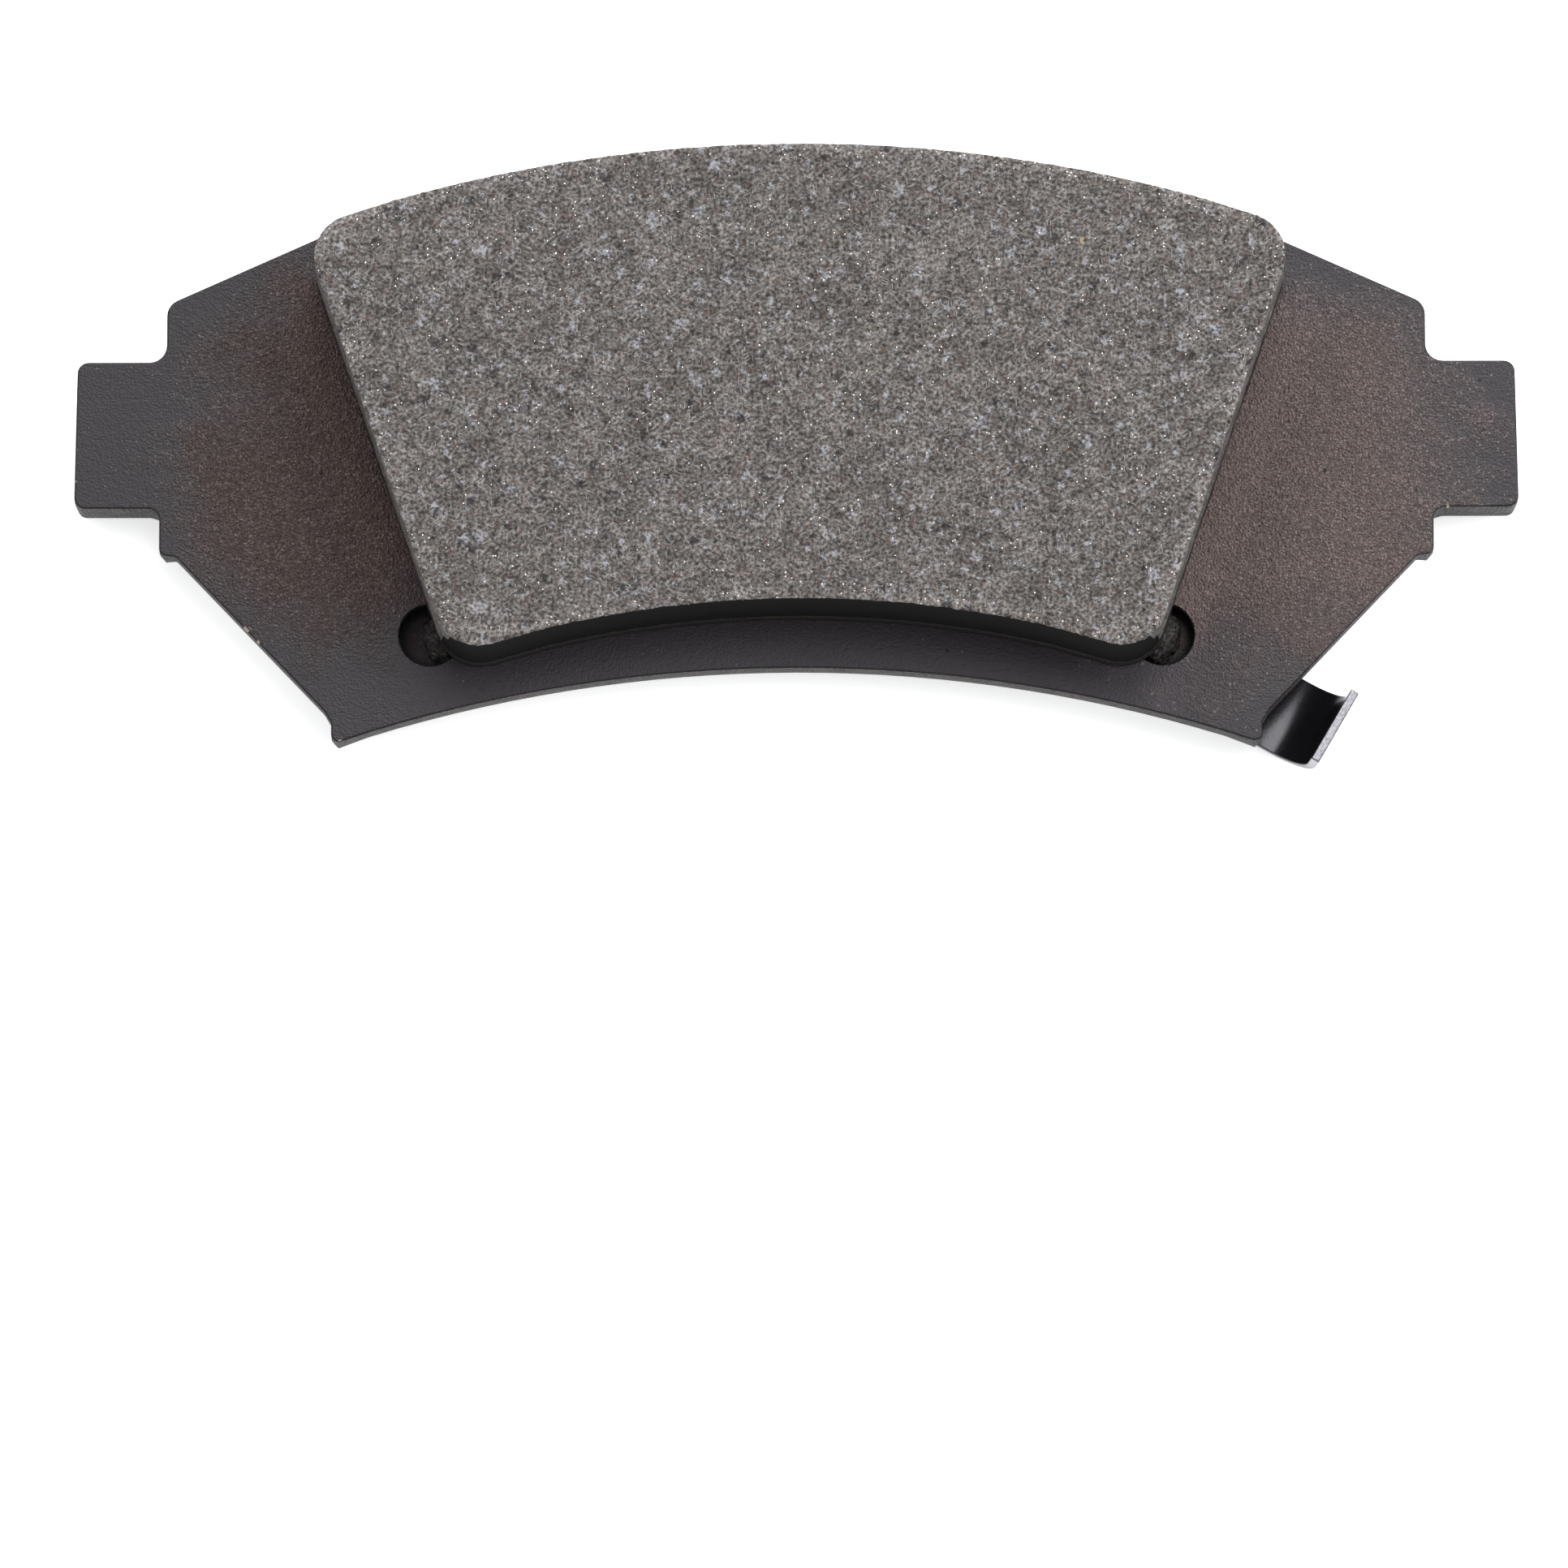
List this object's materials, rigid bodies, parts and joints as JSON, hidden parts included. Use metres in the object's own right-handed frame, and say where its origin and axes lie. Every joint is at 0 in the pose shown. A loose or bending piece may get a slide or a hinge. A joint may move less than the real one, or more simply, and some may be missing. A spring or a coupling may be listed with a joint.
{
  "type": "disc brake pad",
  "caption": "Disc brake pad: friction block bonded to a punched steel plate with guide ears, a noise shim on the back and a spring-steel wear indicator staked at one corner.",
  "frame": {"origin": "on the outer face of the noise shim, where the piston's axis meets it", "axes": "+Z towards the brake disc, +Y radially outwards from the wheel's centre, +X along the pad towards the wear indicator"},
  "size_m": [0.149, 0.0654, 0.0179],
  "materials": {
    "powder_coat": "satin",
    "friction_material": "rough",
    "underlayer": "matte",
    "shim_rubber": "matte",
    "shim_steel": "satin",
    "shim_adhesive": "matte",
    "spring_steel": "gloss"
  },
  "bodies": {
    "root": {"backing_plate": "powder_coat", "underlayer": "underlayer", "friction_block": "friction_material", "shim_outer_rubber": "shim_rubber", "shim_steel_core": "shim_steel", "shim_inner_rubber": "shim_rubber", "shim_adhesive": "shim_adhesive", "wear_indicator": "spring_steel"}
  },
  "joints": []
}
